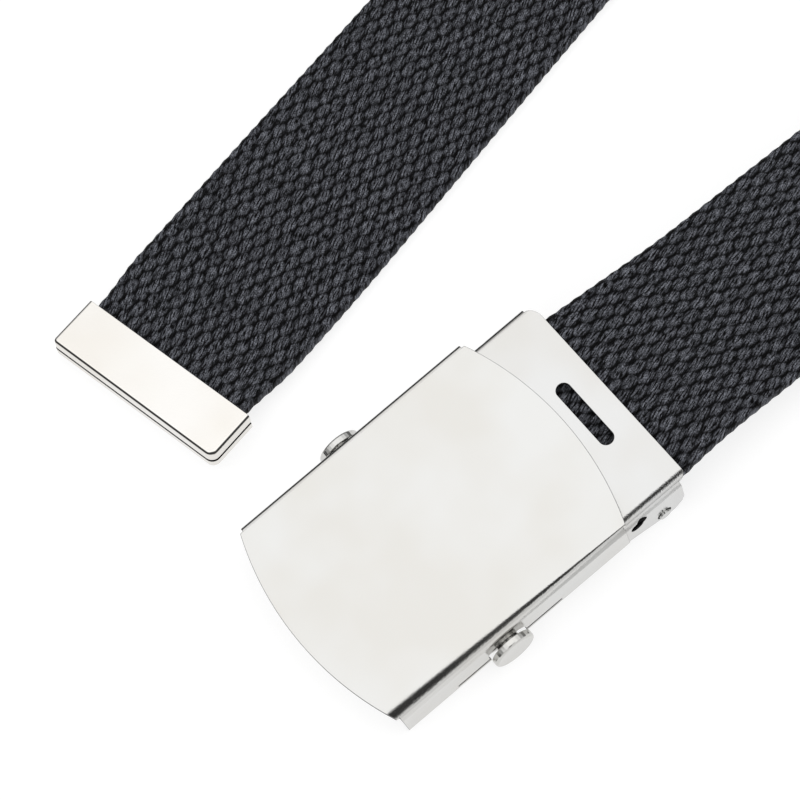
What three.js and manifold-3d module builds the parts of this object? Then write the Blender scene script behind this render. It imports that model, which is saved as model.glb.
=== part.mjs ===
// A military web belt laid open on the floor: cotton webbing, a sheet metal tip, and a friction buckle
// with a loose roller. Millimetres, +Z up. The belt's long way runs along X, its two ends at low X.
import * as THREE from "three";
import { mergeVertices } from "three/addons/utils/BufferGeometryUtils.js";
import Module from "manifold-3d";

const wasm = await Module();
wasm.setup();

// Shared clearances
const GAP = 0.3; // between pieces that touch
const CUT = 2; // how far a cutting shape runs past what it cuts

// How the two ends lie: their centre lines meet at a point behind them, half this angle off X each
const HALF_ANGLE = THREE.MathUtils.degToRad(6.05);
const TIP_FROM_CROSSING = 284;
const BUCKLE_FROM_CROSSING = 278;
const STRAP_OFFSET_IN_BUCKLE = 1.1; // the webbing sits this far off the buckle's middle

// Webbing
const STRAP_LENGTH = 1060;
const STRAP_WIDTH = 38;
const STRAP_THICKNESS = 3;
const STRAP_EDGE_RADIUS = 0.9;
const STRAP_STATIONS = 150;
const FLARE = 2.4; // the webbing spreads this much where it leaves the buckle
const FLARE_LENGTH = 12;
const SETTLE_LENGTH = 31; // from the tip's mouth to where the webbing lies flat
const LEVEL_LENGTH = 30; // from the buckle's rear to where the webbing runs level
const LEVEL_HEIGHT = 7.3; // the webbing's middle there, above the floor

// Roll of the webbing about its own line, at shares of its length: 90 is on edge, outer face outward
const ROLLS = [
  { share: 0, degrees: 2.4 },
  { share: 0.05, degrees: 0 },
  { share: 0.12, degrees: 0 },
  { share: 0.27, degrees: 90 },
  { share: 0.73, degrees: 90 },
  { share: 0.89, degrees: 0 },
  { share: 1, degrees: 0 },
];

// Width of the webbing at shares of its length, as shares of its named width
const WIDTHS = [
  { share: 0, width: 0.98 },
  { share: 0.01, width: 0.98 },
  { share: 0.022, width: 1.035 },
  { share: 0.12, width: 0.99 },
  { share: 0.89, width: 0.99 },
  { share: 1, width: 0.99 },
];

// Tip: a folded cap open toward the webbing
const TIP_LENGTH = 10.9;
const TIP_SHEET = 0.8;
const TIP_TILT = THREE.MathUtils.degToRad(4); // its free end is raised
const TIP_CORNER = 0.9;
const TIP_SEAM_HEIGHT = 0.42; // the seam between the folds, as a share of the tip's height
const TIP_SEAM = 0.35;
const TIP_SEAM_DEPTH = 0.5;
const TIP_SIDE_GAP = 0.8;
const TIP_OFFSET = 0.4; // the cap sits this far toward the webbing's right
const TIP_THICKNESS = STRAP_THICKNESS + 2 * GAP + 2 * TIP_SHEET;
const TIP_WIDTH = STRAP_WIDTH * WIDTHS[0].width + 2 * TIP_SIDE_GAP + 2 * TIP_SHEET;

// Buckle cover. Buckle sizes run rearward from the face's front corner, outward from the middle, and
// downward from the face
const SHEET = 0.8;
const FRAME_SHEET = 0.8;
const STRAP_SIDE_ROOM = 3; // beside the webbing, inside the buckle frame
const FRAME_SIDE_GAP = 0.3; // between the frame's flanges and the cover's walls
const FRAME_WIDTH = STRAP_WIDTH + 2 * STRAP_SIDE_ROOM + 2 * FRAME_SHEET;
const COVER_LENGTH = 54;
const COVER_WIDTH = FRAME_WIDTH + 2 * FRAME_SIDE_GAP + 2 * SHEET;
const COVER_FACE_INSET = 0.9; // from each wall to the face's rounded ends
const COVER_FACE_WIDTH = COVER_WIDTH - 2 * COVER_FACE_INSET;
const COVER_BULGE = 4.4; // how far the rounded ends stand out
const COVER_DEPTH = 8.4;
const COVER_BEND = 1;
const COVER_WALL_SETBACK = 0.65;
const SLIT_FRONT = 12.6;
const SLIT_REAR = 37.1;
const SLIT_HEIGHT = 0.6;
const SLIT_ABOVE_EDGE = 0.9;

// Roller
const ROLLER_AT = 24.5;
const ROLLER_DEPTH = 6.15;
const ROLLER_RADIUS = 2.45;
const HEAD_RADIUS = 4.4;
const HEAD_THICKNESS = 1.5;
const HEAD_CHAMFER = 0.3;
const HEAD_STANDOFF = 0.75;
const ROLLER_TRAVEL = 1.7;
const ROLLER_SLOPE = THREE.MathUtils.degToRad(10); // it climbs toward the face as it goes forward
const ARCH_FREE = 1.75; // room in front of and behind the roller in the cover's arch

// Buckle frame
const PLATE_DEPTH = 4.4;
const PLATE_FRONT = COVER_LENGTH - 21;
const PLATE_REAR = COVER_LENGTH + 15;
const EAR_FRONT = 12.6;
const EAR_TOP = 1.6;
const FRAME_BEND = 1.2;
const FLANGE_REAR = COVER_LENGTH + 13;
const PLATE_CORNERS = { left: 3, right: 1.5 };
const SLOT_AT = COVER_LENGTH + 8.6;
const SLOT_SPAN = 12.1;
const SLOT_RADIUS = 1.5;
const SLOT_OFFSET = 0.75; // toward the buckle's right

// Lower edge of the flanges: rearward place and depth from the face
const FLANGE_EDGE = [
  { at: COVER_LENGTH - 16, depth: COVER_DEPTH },
  { at: COVER_LENGTH + 0.4, depth: 12 },
  { at: COVER_LENGTH + 3.2, depth: 13 },
  { at: COVER_LENGTH + 6.7, depth: 14.3 },
  { at: COVER_LENGTH + 8.4, depth: 14.79 },
  { at: COVER_LENGTH + 10.4, depth: 15 },
  { at: COVER_LENGTH + 12.4, depth: 13.5 },
  { at: FLANGE_REAR, depth: 11.8 },
  { at: FLANGE_REAR, depth: PLATE_DEPTH - CUT },
];

// Half-round relief holes under the frame's bends: side is 1 for the buckle's left, and depth is that of
// their straight lower edge
const RELIEFS = [
  { side: 1, at: COVER_LENGTH + 3.3, depth: 6.1, radius: 1.2 },
  { side: -1, at: COVER_LENGTH + 2.2, depth: 7, radius: 1.4 },
];

// Clamp bar, under the webbing
const CLAMP_PIN_AT = COVER_LENGTH + 8.1;
const CLAMP_PIN_DEPTH = 12.4;
const CLAMP_PIN_RADIUS = 1.25;
const CLAMP_PIN_CLEARANCE = 0.35;
const CLAMP_PIN_PROUD = 0.5; // how far each pin end stands out of its flange
const CLAMP_FRONT = COVER_LENGTH - 7;
const CLAMP_SHEET = 1;
const CLAMP_BARREL = 1.5;

// How the buckle rests: on the cover's front wall ends and on the flanges' lowest stretch
const REAR_FOOT = FLANGE_EDGE[5]; // the rear end of the lowest stretch
const BUCKLE_PITCH = Math.atan((REAR_FOOT.depth - COVER_DEPTH) / (REAR_FOOT.at - COVER_WALL_SETBACK));
const STRAP_DEPTH = PLATE_DEPTH + FRAME_SHEET + GAP + STRAP_THICKNESS / 2;
const STRAP_END_AT = COVER_LENGTH - 10; // the clamped end of the webbing, inside the buckle

// Materials
const nickel = { color: 0xe6e6e3, roughness: 0.18, metalness: 1 };
const cotton = { color: 0x3b3d40, roughness: 0.95, metalness: 0 };

// Plain helpers

function smooth(share) {
  const t = THREE.MathUtils.clamp(share, 0, 1);
  return t * t * (3 - 2 * t);
}

function readTable(rows, share, column) {
  let row = 0;
  while (row < rows.length - 2 && share > rows[row + 1].share) {
    row += 1;
  }
  const from = rows[row];
  const to = rows[row + 1];
  const blend = smooth((share - from.share) / (to.share - from.share));
  return THREE.MathUtils.lerp(from[column], to[column], blend);
}

function solidOf(geometry) {
  const bare = geometry.clone();
  bare.deleteAttribute("normal");
  bare.deleteAttribute("uv");
  const merged = mergeVertices(bare, 1e-5);
  const mesh = new wasm.Mesh({
    numProp: 3,
    vertProperties: new Float32Array(merged.attributes.position.array),
    triVerts: new Uint32Array(merged.index.array),
  });
  return new wasm.Manifold(mesh);
}

function geometryOf(solid) {
  const mesh = solid.getMesh();
  const geometry = new THREE.BufferGeometry();
  geometry.setAttribute("position", new THREE.BufferAttribute(mesh.vertProperties, 3));
  geometry.setIndex(new THREE.BufferAttribute(mesh.triVerts, 1));
  geometry.computeVertexNormals();
  return geometry;
}

function named(name, geometry, look) {
  const mesh = new THREE.Mesh(geometry, new THREE.MeshStandardMaterial(look));
  mesh.name = name;
  return mesh;
}

function box(low, high) {
  const size = high.map((value, i) => value - low[i]);
  const middle = high.map((value, i) => (value + low[i]) / 2);
  return solidOf(new THREE.BoxGeometry(...size).translate(...middle));
}

// A shape drawn rearward and downward, made solid across the buckle
function acrossBuckle(shape, width, segments = 10) {
  const geometry = new THREE.ExtrudeGeometry(shape, {
    depth: width, bevelEnabled: false, curveSegments: segments,
  });
  return solidOf(geometry.translate(0, 0, -width / 2).rotateX(Math.PI / 2));
}

// A shape drawn rearward and leftward, made solid from a top depth to a bottom depth
function downBuckle(shape, top, bottom, segments = 12) {
  const geometry = new THREE.ExtrudeGeometry(shape, {
    depth: bottom - top, bevelEnabled: false, curveSegments: segments,
  });
  return solidOf(geometry.translate(0, 0, -bottom));
}

function circle(x, y, radius) {
  const shape = new THREE.Shape();
  shape.absarc(x, y, radius, 0, 2 * Math.PI);
  return shape;
}

// A channel bent from sheet: a flat top and two walls down, run rearward
function channel(front, rear, width, top, bottom, sheet, bend) {
  const half = width / 2;
  const shape = new THREE.Shape();
  shape.moveTo(-half, -bottom);
  shape.lineTo(-half, -top - bend);
  shape.absarc(-half + bend, -top - bend, bend, Math.PI, Math.PI / 2, true);
  shape.lineTo(half - bend, -top);
  shape.absarc(half - bend, -top - bend, bend, Math.PI / 2, 0, true);
  shape.lineTo(half, -bottom);
  shape.lineTo(half - sheet, -bottom);
  const inner = Math.max(bend - sheet, 0.1);
  shape.lineTo(half - sheet, -top - sheet - inner);
  shape.absarc(half - sheet - inner, -top - sheet - inner, inner, 0, Math.PI / 2, false);
  shape.lineTo(-half + sheet + inner, -top - sheet);
  shape.absarc(-half + sheet + inner, -top - sheet - inner, inner, Math.PI / 2, Math.PI, false);
  shape.lineTo(-half + sheet, -bottom);
  const geometry = new THREE.ExtrudeGeometry(shape, {
    depth: rear - front, bevelEnabled: false, curveSegments: 5,
  });
  return solidOf(geometry.rotateX(Math.PI / 2).rotateZ(Math.PI / 2).translate(front, 0, 0));
}

// Buckle cover

function coverOutline() {
  const half = COVER_FACE_WIDTH / 2;
  const side = COVER_WIDTH / 2 + CUT;
  const radius = (half * half + COVER_BULGE * COVER_BULGE) / (2 * COVER_BULGE);
  const sweep = Math.asin(half / radius);
  const shape = new THREE.Shape();
  shape.moveTo(COVER_WALL_SETBACK, -side);
  shape.lineTo(COVER_LENGTH - COVER_WALL_SETBACK, -side);
  shape.lineTo(COVER_LENGTH - COVER_WALL_SETBACK, -half);
  shape.lineTo(COVER_LENGTH, -half);
  shape.absarc(COVER_LENGTH + COVER_BULGE - radius, 0, radius, -sweep, sweep, false);
  shape.lineTo(COVER_LENGTH - COVER_WALL_SETBACK, half);
  shape.lineTo(COVER_LENGTH - COVER_WALL_SETBACK, side);
  shape.lineTo(COVER_WALL_SETBACK, side);
  shape.lineTo(COVER_WALL_SETBACK, half);
  shape.lineTo(0, half);
  shape.absarc(radius - COVER_BULGE, 0, radius, Math.PI - sweep, Math.PI + sweep, false);
  shape.lineTo(COVER_WALL_SETBACK, -half);
  return shape;
}

function archShape() {
  const reach = ROLLER_RADIUS + ARCH_FREE;
  const height = ROLLER_RADIUS + GAP;
  const shape = new THREE.Shape();
  shape.moveTo(ROLLER_AT - reach, -COVER_DEPTH - CUT);
  shape.lineTo(ROLLER_AT + reach, -COVER_DEPTH - CUT);
  shape.lineTo(ROLLER_AT + reach, -ROLLER_DEPTH);
  shape.absellipse(ROLLER_AT, -ROLLER_DEPTH, reach, height, 0, Math.PI, false);
  return shape;
}

function buckleCover() {
  const front = -COVER_BULGE - CUT;
  const rear = COVER_LENGTH + COVER_BULGE + CUT;
  const bent = channel(front, rear, COVER_WIDTH, 0, COVER_DEPTH, SHEET, COVER_BEND);
  const outlined = bent.intersect(downBuckle(coverOutline(), -CUT, COVER_DEPTH + CUT, 24));
  const wide = COVER_WIDTH + CUT;
  const slitBottom = COVER_DEPTH - SLIT_ABOVE_EDGE;
  const slit = box(
    [SLIT_FRONT, -wide / 2, -slitBottom],
    [SLIT_REAR, wide / 2, -slitBottom + SLIT_HEIGHT],
  );
  const open = outlined.subtract(slit).subtract(acrossBuckle(archShape(), wide));
  return open.subtract(acrossBuckle(rollerPath(), wide));
}

// Buckle frame

function plateOutline() {
  const half = FRAME_WIDTH / 2 + CUT;
  const edge = FRAME_WIDTH / 2;
  const { left, right } = PLATE_CORNERS;
  const shape = new THREE.Shape();
  shape.moveTo(EAR_FRONT, -half);
  shape.lineTo(FLANGE_REAR, -half);
  shape.lineTo(FLANGE_REAR, -edge + FRAME_SHEET);
  shape.absellipse(FLANGE_REAR, -edge + FRAME_SHEET + right, PLATE_REAR - FLANGE_REAR, right, -Math.PI / 2, 0);
  shape.lineTo(PLATE_REAR, edge - FRAME_SHEET - left);
  shape.absellipse(FLANGE_REAR, edge - FRAME_SHEET - left, PLATE_REAR - FLANGE_REAR, left, 0, Math.PI / 2);
  shape.lineTo(FLANGE_REAR, half);
  shape.lineTo(EAR_FRONT, half);
  return shape;
}

function flangeShape() {
  const shape = new THREE.Shape();
  shape.moveTo(PLATE_FRONT, -PLATE_DEPTH + CUT);
  shape.lineTo(PLATE_FRONT, -COVER_DEPTH);
  for (const row of FLANGE_EDGE) {
    shape.lineTo(row.at, -row.depth);
  }
  return shape;
}

function earShape() {
  const shape = new THREE.Shape();
  const lobe = ROLLER_DEPTH + ROLLER_RADIUS + 1.4;
  shape.moveTo(EAR_FRONT, -EAR_TOP);
  shape.lineTo(EAR_FRONT, -COVER_DEPTH);
  shape.lineTo(ROLLER_AT - ROLLER_TRAVEL - ROLLER_RADIUS, -COVER_DEPTH);
  shape.lineTo(ROLLER_AT - ROLLER_TRAVEL, -lobe);
  shape.lineTo(ROLLER_AT + GAP, -lobe);
  shape.lineTo(ROLLER_AT + ROLLER_RADIUS + GAP, -COVER_DEPTH);
  shape.lineTo(PLATE_FRONT + CUT, -COVER_DEPTH);
  shape.lineTo(PLATE_FRONT + CUT, -PLATE_DEPTH - FRAME_BEND);
  shape.lineTo(PLATE_FRONT, -EAR_TOP);
  return shape;
}

function rollerPath() {
  const radius = ROLLER_RADIUS + GAP;
  const lean = Math.PI / 2 - ROLLER_SLOPE;
  const frontX = ROLLER_AT - ROLLER_TRAVEL * Math.cos(ROLLER_SLOPE);
  const frontY = -ROLLER_DEPTH + ROLLER_TRAVEL * Math.sin(ROLLER_SLOPE);
  const shape = new THREE.Shape();
  shape.absarc(ROLLER_AT, -ROLLER_DEPTH, radius, lean - Math.PI, lean, false);
  shape.absarc(frontX, frontY, radius, lean, lean + Math.PI, false);
  return shape;
}

function oblongSlot() {
  const half = SLOT_SPAN / 2;
  const shape = new THREE.Shape();
  shape.absarc(SLOT_AT, half - SLOT_OFFSET, SLOT_RADIUS, 0, Math.PI, false);
  shape.absarc(SLOT_AT, -half - SLOT_OFFSET, SLOT_RADIUS, Math.PI, 2 * Math.PI, false);
  return shape;
}

function buckleFrame() {
  const deepest = REAR_FOOT.depth + CUT;
  const bent = channel(PLATE_FRONT, PLATE_REAR, FRAME_WIDTH, PLATE_DEPTH, deepest, FRAME_SHEET, FRAME_BEND);
  const rearTab = downBuckle(plateOutline(), PLATE_DEPTH - CUT, PLATE_DEPTH + FRAME_SHEET);
  const flanges = acrossBuckle(flangeShape(), FRAME_WIDTH + CUT);
  let frame = bent.intersect(flanges.add(rearTab)).intersect(downBuckle(plateOutline(), 0, deepest + CUT));
  const earFace = FRAME_WIDTH / 2;
  const between = box([0, -earFace + FRAME_SHEET, -deepest], [PLATE_REAR, earFace - FRAME_SHEET, CUT]);
  frame = frame.add(acrossBuckle(earShape(), FRAME_WIDTH).subtract(between));
  frame = frame.subtract(acrossBuckle(rollerPath(), FRAME_WIDTH + CUT));
  frame = frame.subtract(downBuckle(oblongSlot(), PLATE_DEPTH - CUT, PLATE_DEPTH + FRAME_SHEET + CUT));
  const pinHole = circle(CLAMP_PIN_AT, -CLAMP_PIN_DEPTH, CLAMP_PIN_RADIUS + CLAMP_PIN_CLEARANCE);
  frame = frame.subtract(acrossBuckle(pinHole, FRAME_WIDTH + CUT, 16));
  for (const relief of RELIEFS) {
    const half = new THREE.Shape();
    half.absarc(relief.at, -relief.depth, relief.radius, 0, Math.PI, false);
    const drill = acrossBuckle(half, 2 * FRAME_BEND + CUT);
    frame = frame.subtract(drill.translate([0, relief.side * earFace, 0]));
  }
  return frame;
}

// Roller, one turned piece across the buckle

function gripRoller() {
  const neck = COVER_WIDTH / 2 + HEAD_STANDOFF;
  const end = neck + HEAD_THICKNESS;
  const profile = [
    new THREE.Vector2(0, -end),
    new THREE.Vector2(HEAD_RADIUS - HEAD_CHAMFER, -end),
    new THREE.Vector2(HEAD_RADIUS, -end + HEAD_CHAMFER),
    new THREE.Vector2(HEAD_RADIUS, -neck),
    new THREE.Vector2(ROLLER_RADIUS, -neck),
    new THREE.Vector2(ROLLER_RADIUS, neck),
    new THREE.Vector2(HEAD_RADIUS, neck),
    new THREE.Vector2(HEAD_RADIUS, end - HEAD_CHAMFER),
    new THREE.Vector2(HEAD_RADIUS - HEAD_CHAMFER, end),
    new THREE.Vector2(0, end),
  ];
  return solidOf(new THREE.LatheGeometry(profile, 40).translate(ROLLER_AT, 0, -ROLLER_DEPTH));
}

// Clamp bar with its two pin ends

function strapClamp() {
  const top = STRAP_DEPTH + STRAP_THICKNESS / 2 + GAP;
  const sheetTop = top + CLAMP_SHEET;
  const shape = new THREE.Shape();
  shape.moveTo(CLAMP_FRONT, -sheetTop);
  shape.lineTo(CLAMP_FRONT, -sheetTop - CLAMP_SHEET);
  shape.lineTo(CLAMP_PIN_AT - CLAMP_BARREL - CLAMP_SHEET, -sheetTop - CLAMP_SHEET);
  shape.lineTo(CLAMP_PIN_AT - CLAMP_BARREL, -CLAMP_PIN_DEPTH);
  shape.absarc(CLAMP_PIN_AT, -CLAMP_PIN_DEPTH, CLAMP_BARREL, Math.PI, 2 * Math.PI, false);
  shape.lineTo(CLAMP_PIN_AT + CLAMP_BARREL, -sheetTop);
  shape.lineTo(CLAMP_PIN_AT, -top);
  shape.lineTo(CLAMP_PIN_AT - CLAMP_BARREL, -top);
  shape.lineTo(CLAMP_PIN_AT - 2 * CLAMP_BARREL, -sheetTop);
  const bar = acrossBuckle(shape, FRAME_WIDTH - 2 * FRAME_SHEET - 2 * GAP);
  const pinLength = FRAME_WIDTH + 2 * CLAMP_PIN_PROUD;
  const pin = acrossBuckle(circle(CLAMP_PIN_AT, -CLAMP_PIN_DEPTH, CLAMP_PIN_RADIUS), pinLength, 16);
  return bar.add(pin);
}

// Tip, drawn with its mouth at the origin and its free end toward low X, its middle at zero height

function beltTip() {
  const half = TIP_WIDTH / 2;
  const outer = new THREE.Shape();
  outer.moveTo(0, -half);
  outer.lineTo(0, half);
  outer.lineTo(-TIP_LENGTH + TIP_CORNER, half);
  outer.absarc(-TIP_LENGTH + TIP_CORNER, half - TIP_CORNER, TIP_CORNER, Math.PI / 2, Math.PI, false);
  outer.absarc(-TIP_LENGTH + TIP_CORNER, -half + TIP_CORNER, TIP_CORNER, Math.PI, 1.5 * Math.PI, false);
  const inner = TIP_LENGTH - TIP_SHEET;
  const room = STRAP_THICKNESS / 2 + GAP;
  const hollow = box([-inner, -half + TIP_SHEET, -room], [CUT, half - TIP_SHEET, room]);
  let tip = downBuckle(outer, -TIP_THICKNESS / 2, TIP_THICKNESS / 2, 8).subtract(hollow);
  const seam = -TIP_THICKNESS / 2 + TIP_SEAM_HEIGHT * TIP_THICKNESS;
  const around = box([-TIP_LENGTH - CUT, -half - CUT, seam], [CUT, half + CUT, seam + TIP_SEAM]);
  const kept = box(
    [-TIP_LENGTH + TIP_SEAM_DEPTH, -half + TIP_SEAM_DEPTH, seam - CUT],
    [2 * CUT, half - TIP_SEAM_DEPTH, seam + CUT],
  );
  tip = tip.subtract(around.subtract(kept));
  return tip;
}

// Route of the webbing, from inside the tip, along one end, round one plain turn, and back to the clamp

function turnHeading(share) {
  return HALF_ANGLE - (Math.PI / 2 + HALF_ANGLE) * (1 - Math.cos((Math.PI * share) / 2));
}

// The half turn for a length of one: points from its start, in the plane of the floor
function unitHalfTurn(steps = 200) {
  const points = [new THREE.Vector2(0, 0)];
  for (let i = 0; i < steps; i += 1) {
    const heading = turnHeading((i + 0.5) / steps);
    const last = points[i];
    points.push(new THREE.Vector2(last.x + Math.cos(heading) / steps, last.y + Math.sin(heading) / steps));
  }
  return points;
}

const HALF_TURN = unitHalfTurn();
const TURN_DROP = -HALF_TURN[HALF_TURN.length - 1].y;
const STRAP_START = TIP_FROM_CROSSING + TIP_SHEET + GAP;
const STRAP_STOP = BUCKLE_FROM_CROSSING + STRAP_END_AT;
const TURN_SHARE = Math.sin(HALF_ANGLE) / TURN_DROP;
const TURN_FROM_CROSSING = (STRAP_LENGTH + STRAP_START + STRAP_STOP) / (2 * (1 + TURN_SHARE));
const HALF_TURN_LENGTH = TURN_FROM_CROSSING * TURN_SHARE;
const MOUTH_FROM_START = TIP_LENGTH - TIP_SHEET - GAP;

// Plan place at a distance along the webbing, with the side of the middle line that it is on
function planPoint(along) {
  const half = STRAP_LENGTH_BEFORE_MIDDLE;
  const side = along <= half ? 1 : -1;
  const line = side > 0 ? STRAP_START + along : STRAP_STOP + STRAP_LENGTH - along;
  if (line <= TURN_FROM_CROSSING) {
    return new THREE.Vector2(line * Math.cos(HALF_ANGLE), side * line * Math.sin(HALF_ANGLE));
  }
  const place = ((line - TURN_FROM_CROSSING) / HALF_TURN_LENGTH) * (HALF_TURN.length - 1);
  const low = Math.min(Math.floor(place), HALF_TURN.length - 2);
  const point = HALF_TURN[low].clone().lerp(HALF_TURN[low + 1], place - low);
  point.multiplyScalar(HALF_TURN_LENGTH);
  point.x += TURN_FROM_CROSSING * Math.cos(HALF_ANGLE);
  point.y += TURN_FROM_CROSSING * Math.sin(HALF_ANGLE);
  point.y *= side;
  return point;
}

const STRAP_LENGTH_BEFORE_MIDDLE = TURN_FROM_CROSSING + HALF_TURN_LENGTH - STRAP_START;

function strapRoll(along) {
  return THREE.MathUtils.degToRad(readTable(ROLLS, along / STRAP_LENGTH, "degrees"));
}

function strapWidth(along) {
  const width = STRAP_WIDTH * readTable(WIDTHS, along / STRAP_LENGTH, "width");
  const behind = STRAP_LENGTH - along + STRAP_END_AT - PLATE_REAR;
  return width + FLARE * Math.exp(-Math.max(behind, 0) / FLARE_LENGTH);
}

// Height of the webbing's middle line where it lies on its lower edge or is carried by an end piece
function strapHeight(along) {
  const roll = strapRoll(along);
  const resting = (strapWidth(along) / 2) * Math.sin(roll) + (STRAP_THICKNESS / 2) * Math.cos(roll);
  const past = along - MOUTH_FROM_START;
  const settle = TIP_SHEET + GAP + (TIP_WIDTH / 2 - strapWidth(0) / 2) * Math.sin(strapRoll(0));
  let lift = settle * (1 - THREE.MathUtils.clamp(past / SETTLE_LENGTH, 0, 1)) ** 2;
  if (past < 0) {
    lift = settle - past * Math.tan(TIP_TILT);
  }
  const inBuckle = STRAP_LENGTH - along + STRAP_END_AT;
  const carried = buckleHeight(inBuckle, STRAP_DEPTH);
  const level = resting + (LEVEL_HEIGHT - STRAP_THICKNESS / 2) * (1 - Math.sin(roll));
  const levelled = smooth((inBuckle - FLANGE_REAR) / LEVEL_LENGTH);
  if (along > STRAP_LENGTH / 2) {
    return THREE.MathUtils.lerp(carried, level, levelled);
  }
  return resting + lift;
}

// Height above the floor of a point of the buckle
function buckleHeight(rearward, depth) {
  const down = (COVER_DEPTH - depth) * Math.cos(BUCKLE_PITCH);
  return down + (rearward - COVER_WALL_SETBACK) * Math.sin(BUCKLE_PITCH);
}

function strapPoint(along) {
  const plan = planPoint(along);
  return new THREE.Vector3(plan.x, plan.y, strapHeight(along));
}

// The webbing's own axes at a distance along it
function strapAxes(along) {
  const step = 0.5;
  const ahead = strapPoint(Math.min(along + step, STRAP_LENGTH));
  const forward = ahead.sub(strapPoint(Math.max(along - step, 0))).normalize();
  const left = new THREE.Vector3(0, 0, 1).cross(forward).normalize();
  const up = forward.clone().cross(left);
  const roll = strapRoll(along);
  const face = up.clone().multiplyScalar(Math.cos(roll)).addScaledVector(left, Math.sin(roll));
  const across = left.clone().multiplyScalar(Math.cos(roll)).addScaledVector(up, -Math.sin(roll));
  return { forward, face, across };
}

function strapSection() {
  const x = STRAP_WIDTH / 2;
  const y = STRAP_THICKNESS / 2;
  const r = STRAP_EDGE_RADIUS;
  const shape = new THREE.Shape();
  shape.moveTo(-x + r, -y);
  shape.absarc(x - r, -y + r, r, -Math.PI / 2, 0, false);
  shape.absarc(x - r, y - r, r, 0, Math.PI / 2, false);
  shape.absarc(-x + r, y - r, r, Math.PI / 2, Math.PI, false);
  shape.absarc(-x + r, -y + r, r, Math.PI, 1.5 * Math.PI, false);
  return shape;
}

function beltStrap() {
  const geometry = new THREE.ExtrudeGeometry(strapSection(), {
    depth: STRAP_LENGTH, steps: STRAP_STATIONS, bevelEnabled: false, curveSegments: 2,
  });
  const points = geometry.attributes.position;
  for (let i = 0; i < points.count; i += 1) {
    const along = points.getZ(i);
    const axes = strapAxes(along);
    const place = strapPoint(along);
    place.addScaledVector(axes.across, points.getX(i) * (strapWidth(along) / STRAP_WIDTH));
    place.addScaledVector(axes.face, points.getY(i));
    points.setXYZ(i, place.x, place.y, place.z);
  }
  return solidOf(geometry);
}

// Assembly

function placedBuckle() {
  const buckle = new THREE.Group();
  buckle.add(named("buckle_cover", geometryOf(buckleCover()), nickel));
  buckle.add(named("buckle_frame", geometryOf(buckleFrame()), nickel));
  buckle.add(named("grip_roller", geometryOf(gripRoller()), nickel));
  buckle.add(named("strap_clamp", geometryOf(strapClamp()), nickel));
  const pitched = new THREE.Group();
  buckle.rotation.y = -BUCKLE_PITCH;
  const lean = COVER_DEPTH * Math.sin(BUCKLE_PITCH);
  buckle.position.set(-lean, STRAP_OFFSET_IN_BUCKLE, buckleHeight(0, 0));
  pitched.add(buckle);
  pitched.rotation.z = -HALF_ANGLE;
  pitched.position.set(
    BUCKLE_FROM_CROSSING * Math.cos(HALF_ANGLE),
    -BUCKLE_FROM_CROSSING * Math.sin(HALF_ANGLE),
    0,
  );
  return pitched;
}

function placedTip() {
  const tip = named("belt_tip", geometryOf(beltTip()), nickel);
  const axes = strapAxes(MOUTH_FROM_START / 2);
  const turn = new THREE.Matrix4().makeBasis(axes.forward, axes.across, axes.face);
  tip.quaternion.setFromRotationMatrix(turn);
  const middle = strapPoint(MOUTH_FROM_START / 2);
  tip.position.copy(middle).addScaledVector(axes.forward, MOUTH_FROM_START / 2);
  tip.position.addScaledVector(axes.across, -TIP_OFFSET);
  return tip;
}

const belt = new THREE.Group();
const laid = new THREE.Group();
laid.add(named("belt_strap", geometryOf(beltStrap()), cotton));
laid.add(placedTip());
laid.add(placedBuckle());
belt.add(laid);

// The belt's box stands on the origin, middle of its base
laid.updateMatrixWorld(true);
const bounds = new THREE.Box3().setFromObject(laid, true);
const centre = bounds.getCenter(new THREE.Vector3());
laid.position.set(-centre.x, -centre.y, -bounds.min.z);

export default belt;
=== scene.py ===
import math

import bpy
import numpy as np
from mathutils import Matrix, Vector

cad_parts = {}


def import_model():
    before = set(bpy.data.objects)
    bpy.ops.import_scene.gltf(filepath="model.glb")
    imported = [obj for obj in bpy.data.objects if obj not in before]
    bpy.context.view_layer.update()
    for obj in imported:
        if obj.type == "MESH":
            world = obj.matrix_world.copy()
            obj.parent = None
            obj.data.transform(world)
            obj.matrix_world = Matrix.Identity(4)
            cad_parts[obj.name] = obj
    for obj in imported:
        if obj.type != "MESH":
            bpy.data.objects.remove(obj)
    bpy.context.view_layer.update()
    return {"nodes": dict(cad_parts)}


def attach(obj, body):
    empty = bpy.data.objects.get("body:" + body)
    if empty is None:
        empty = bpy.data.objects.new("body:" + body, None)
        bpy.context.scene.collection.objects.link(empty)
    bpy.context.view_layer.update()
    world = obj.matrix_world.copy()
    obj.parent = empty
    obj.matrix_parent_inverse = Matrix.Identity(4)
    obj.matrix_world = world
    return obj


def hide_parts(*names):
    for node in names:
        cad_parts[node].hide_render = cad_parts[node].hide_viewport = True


# Looks of a military web belt: woven cotton webbing, bright nickel hardware and a pale floor.
# Metres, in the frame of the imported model: +Z up, the belt's two ends at low X.

# How the webbing lies: its two ends run from a crossing point behind them, this angle off X each
CROSSING = Vector((-0.531554, 0, 0.000006))
HALF_ANGLE = math.radians(6.05)
TIP_FROM_CROSSING = 0.284
BUCKLE_FROM_CROSSING = 0.278
STRAP_END_AT = 0.044  # the clamped end of the webbing, rearward in the buckle
TURN_STEPS = 200

# Webbing
STRAP_LENGTH = 1.06
STRAP_WIDTH = 0.038
STRAP_THICKNESS = 0.003
FLARE = 0.0024
FLARE_LENGTH = 0.012
SETTLE_LENGTH = 0.031
LEVEL_LENGTH = 0.030
LEVEL_HEIGHT = 0.0073

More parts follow.
